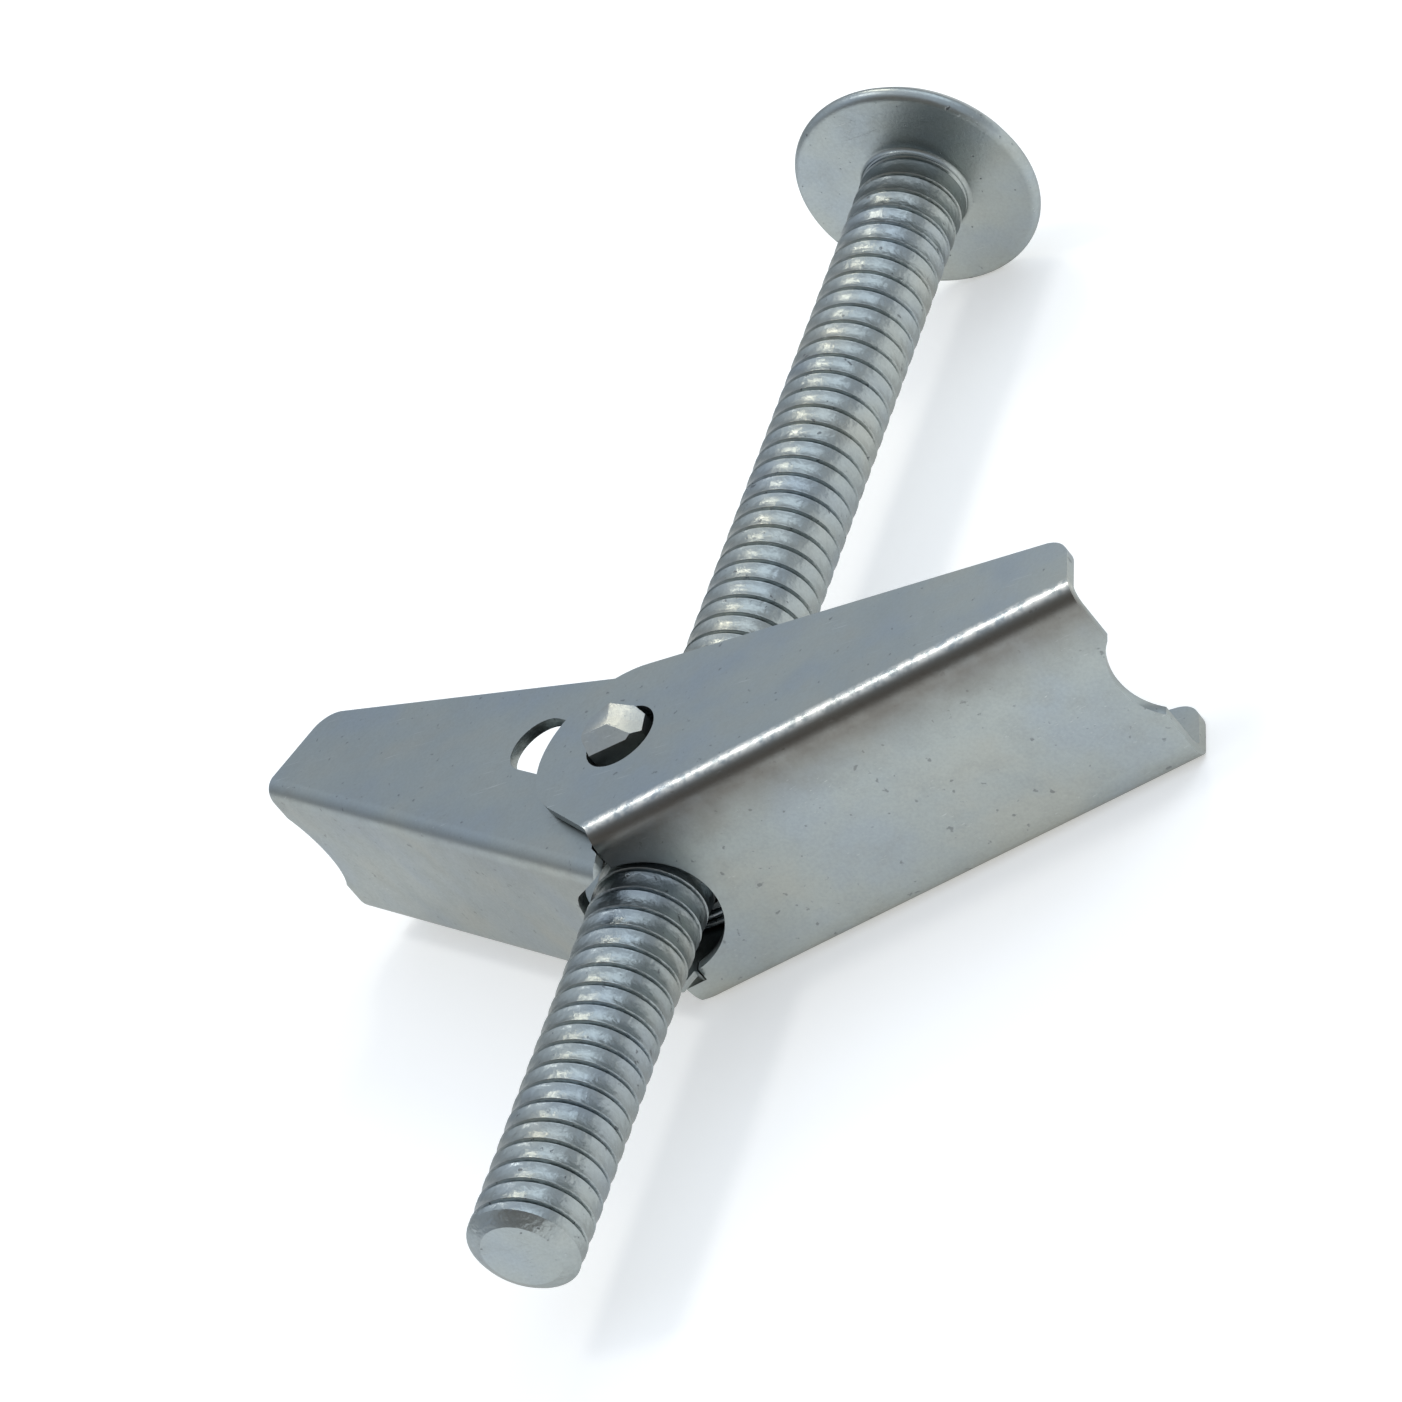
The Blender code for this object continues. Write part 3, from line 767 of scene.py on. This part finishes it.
def addFloor(s):
    # white to the camera, grey to what the metal mirrors, and it keeps the shadow
    clearSelection()
    bpy.ops.mesh.primitive_plane_add(size=s["size"], location=(0, 0, s["level"]))
    floor = bpy.context.object
    floor.name = "studio_floor"
    made = Finish("white sweep")
    fixed = {
        "Base Color": s["colour"], "Roughness": s["rough"],
        "Specular IOR Level": 0.0, "Emission Strength": 1,
    }
    for name, value in fixed.items():
        made.feed(made.shader.inputs[name], value)
    straight, reflected, through = [
        made.node("ShaderNodeLightPath", output=kind)
        for kind in ("Is Camera Ray", "Is Glossy Ray", "Is Transmission Ray")
    ]
    glow = made.blend(straight + through, (0, 0, 0), s["seenGlow"])
    made.feed(made.shader.inputs["Emission Color"], made.blend(reflected, glow, s["mirroredGlow"]))
    floor.data.materials.append(made.material)


def addWorld(s):
    # a room that is dim near the ground and behind the camera
    world = bpy.data.worlds.new("studio")
    bpy.context.scene.world = world
    world.use_nodes = True
    made = Nodes(world.node_tree)
    direction = made.node("ShaderNodeTexCoord", output="Generated")
    height = made.dot(direction, (0, 0, 1))
    tone = made.blend(made.band(height, *s["rise"]), s["low"], s["high"])
    toward = made.dot(direction, Vector(s["shadeToward"]).normalized())
    tone = made.blend(made.band(toward, *s["shadeEdge"]), tone, s["shade"])
    tone = made.blend(made.node("ShaderNodeLightPath", output="Is Camera Ray"), tone, (1, 1, 1))
    made.feed(made.tree.nodes["Background"].inputs["Color"], tone)


threadedScrew = buildScrew(screwSizes)
print("screw done")
wideWing = buildOuterWing()
narrowWing = buildInnerWing()
print("wings done")
springBridge, springCoils, springLegs = buildSpring(springSizes)
crossNut = buildNut(nutSizes)
print("spring and nut done")

zincLook = {
    "light": (0.375, 0.412, 0.404), "shade": (0.340, 0.382, 0.390), "blue": (0.330, 0.380, 0.415),
    "warm": (0.385, 0.405, 0.380), "stain": (0.31, 0.335, 0.33), "dark": (0.12, 0.13, 0.14),
    "bright": (0.60, 0.64, 0.65), "rough": 0.33, "relief": 0.25, "specks": 0.55, "pebble": 0.3,
    "hairTurn": (10, 20, 35), "crossTurn": (0, -25, -50),
    # painted shade under the fold: its colour and strength
    "foldTint": (0.165, 0.158, 0.145), "foldDepth": 0.9,
}
screwZinc = zincPlate("zinc plated screw", {
    **zincLook, "rough": 0.36, "relief": 0.8, "specks": 0.8, "pebble": 2.0, "pebbleEnd": 38.0,
})
nutZinc = zincPlate("zinc plated nut", {
    **zincLook, "light": (0.37, 0.39, 0.375), "shade": (0.34, 0.36, 0.35), "rough": 0.38,
})
# the wide wing gets a painted highlight along its near fold, and painted shade below it
outerZinc = zincPlate("zinc plated wide wing", {
    **zincLook, "fold": outerSizes, "hairTurn": (5, 40, 75), "rub": 0.8, "rubTint": (0.86, 0.84, 0.77),
})
# the narrow wing gets only faint painted shade under its fold
innerZinc = zincPlate("zinc plated narrow wing", {
    **zincLook, "fold": innerSizes, "foldDepth": 0.15, "hairTurn": (30, 10, 15),
})
springSteel = zincPlate("drawn spring wire", {**zincLook, "light": (0.3, 0.3, 0.3), "rough": 0.3})
print("finishes done")

dressing = [
    (threadedScrew, "screw", "machine_screw", screwZinc, "screw_zinc"),
    (wideWing, "wing_outer", "outer_wing", outerZinc, "outer_zinc"),
    (narrowWing, "wing_inner", "inner_wing", innerZinc, "inner_zinc"),
    (crossNut, "nut", "trunnion_nut", nutZinc, "nut_zinc"),
    (springCoils, "nut", "torsion_spring", springSteel, "spring_wire"),
    (springBridge, "wing_outer", "torsion_spring", springSteel, "spring_wire"),
    (springLegs, "wing_inner", "torsion_spring", springSteel, "spring_wire"),
]
for piece, body, node, finishOf, slot in dressing:
    piece.data.materials.clear()
    piece.data.materials.append(finishOf)
    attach(piece, body)
    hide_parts(node)

addFloor(sweepLook)
addWorld(roomLight)
for lamp in lampSettings:
    addLamp(lamp)
addCamera(cameraSettings)
bpy.context.scene.view_settings.view_transform = "Standard"
print("camera and lights done")
